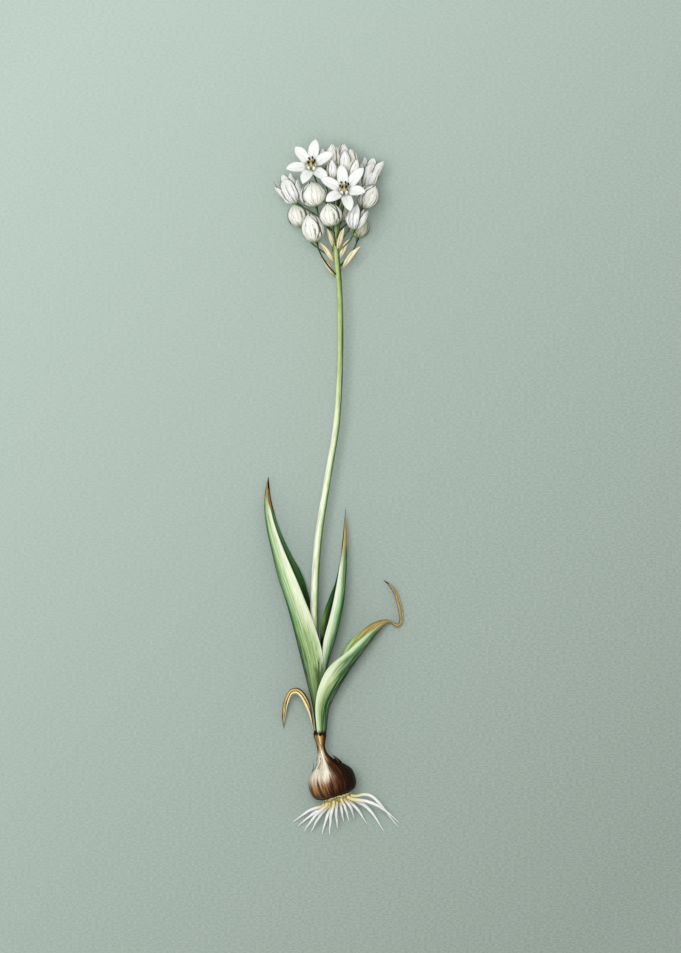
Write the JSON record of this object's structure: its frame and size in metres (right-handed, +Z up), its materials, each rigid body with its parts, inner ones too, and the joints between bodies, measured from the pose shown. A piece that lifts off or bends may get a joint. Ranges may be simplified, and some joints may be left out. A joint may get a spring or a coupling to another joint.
{
  "type": "chincherinchee plant with bulb and flowers",
  "caption": "Whole flowering bulb plant laid on its side: bare roots, brown bulb, channelled leaves, leafless stalk and a head of white buds and star flowers.",
  "frame": {"origin": "middle of the underside of the bounding box, on the surface the plant lies on", "axes": "+Y along the plant from the roots to the flowers, +X to the right of the plant seen from above, +Z up from the surface"},
  "size_m": [0.0694, 0.3474, 0.0474],
  "materials": {
    "scape": "smooth waxy green stalk, yellow-green on one side and pale near the leaves",
    "leaf": "fleshy green leaf with fine lengthwise veins, pale margins and ochre tip",
    "withered_leaf": "dry ochre leaf with brown strands",
    "tunic": "dry brown papery bulb skin with lengthwise fibres and torn edges",
    "basal_plate": "matte corky plate",
    "root": "matte cream root, yellower at the plate",
    "bract": "thin dry bract, cream to orange-brown at the tip",
    "petal": "soft white petal with faint lengthwise veins",
    "bud": "cream-white overlapping bud petals with grey stripes, on a green stalk",
    "stamens": "pale flattened filaments with dark anthers",
    "pistil": "smooth green ovary with a short style, on a green stalk"
  },
  "bodies": {
    "root": {"basal_plate": "basal_plate", "bract_1": "bract", "bract_2": "bract", "bract_3": "bract", "bract_4": "bract", "bract_5": "bract", "bract_6": "bract", "bud_back_middle": "bud", "bud_back_right": "bud", "bud_broad": "bud", "bud_lower_left": "bud", "bud_lower_middle": "bud", "bud_outer_left": "bud", "bud_right": "bud", "bud_side_left": "bud", "bud_side_right": "bud", "bud_top_back": "bud", "bud_top_front": "bud", "bud_top_left": "bud", "bud_top_middle": "bud", "bud_top_right": "bud", "bulb": "tunic", "flower_left_petal_1": "petal", "flower_left_petal_2": "petal", "flower_left_petal_3": "petal", "flower_left_petal_4": "petal", "flower_left_petal_5": "petal", "flower_left_petal_6": "petal", "flower_left_pistil": "pistil", "flower_left_stamens": "stamens", "flower_opening_left": "bud", "flower_opening_low": "bud", "flower_opening_right": "bud", "flower_right_petal_1": "petal", "flower_right_petal_2": "petal", "flower_right_petal_3": "petal", "flower_right_petal_4": "petal", "flower_right_petal_5": "petal", "flower_right_petal_6": "petal", "flower_right_pistil": "pistil", "flower_right_stamens": "stamens", "leaf_left": "leaf", "leaf_middle": "leaf", "leaf_right": "leaf", "leaf_withered": "withered_leaf", "root_01": "root", "root_02": "root", "root_03": "root", "root_04": "root", "root_05": "root", "root_06": "root", "root_07": "root", "root_08": "root", "root_09": "root", "root_10": "root", "root_11": "root", "root_12": "root", "root_13": "root", "root_14": "root", "scape": "scape"}
  },
  "joints": []
}
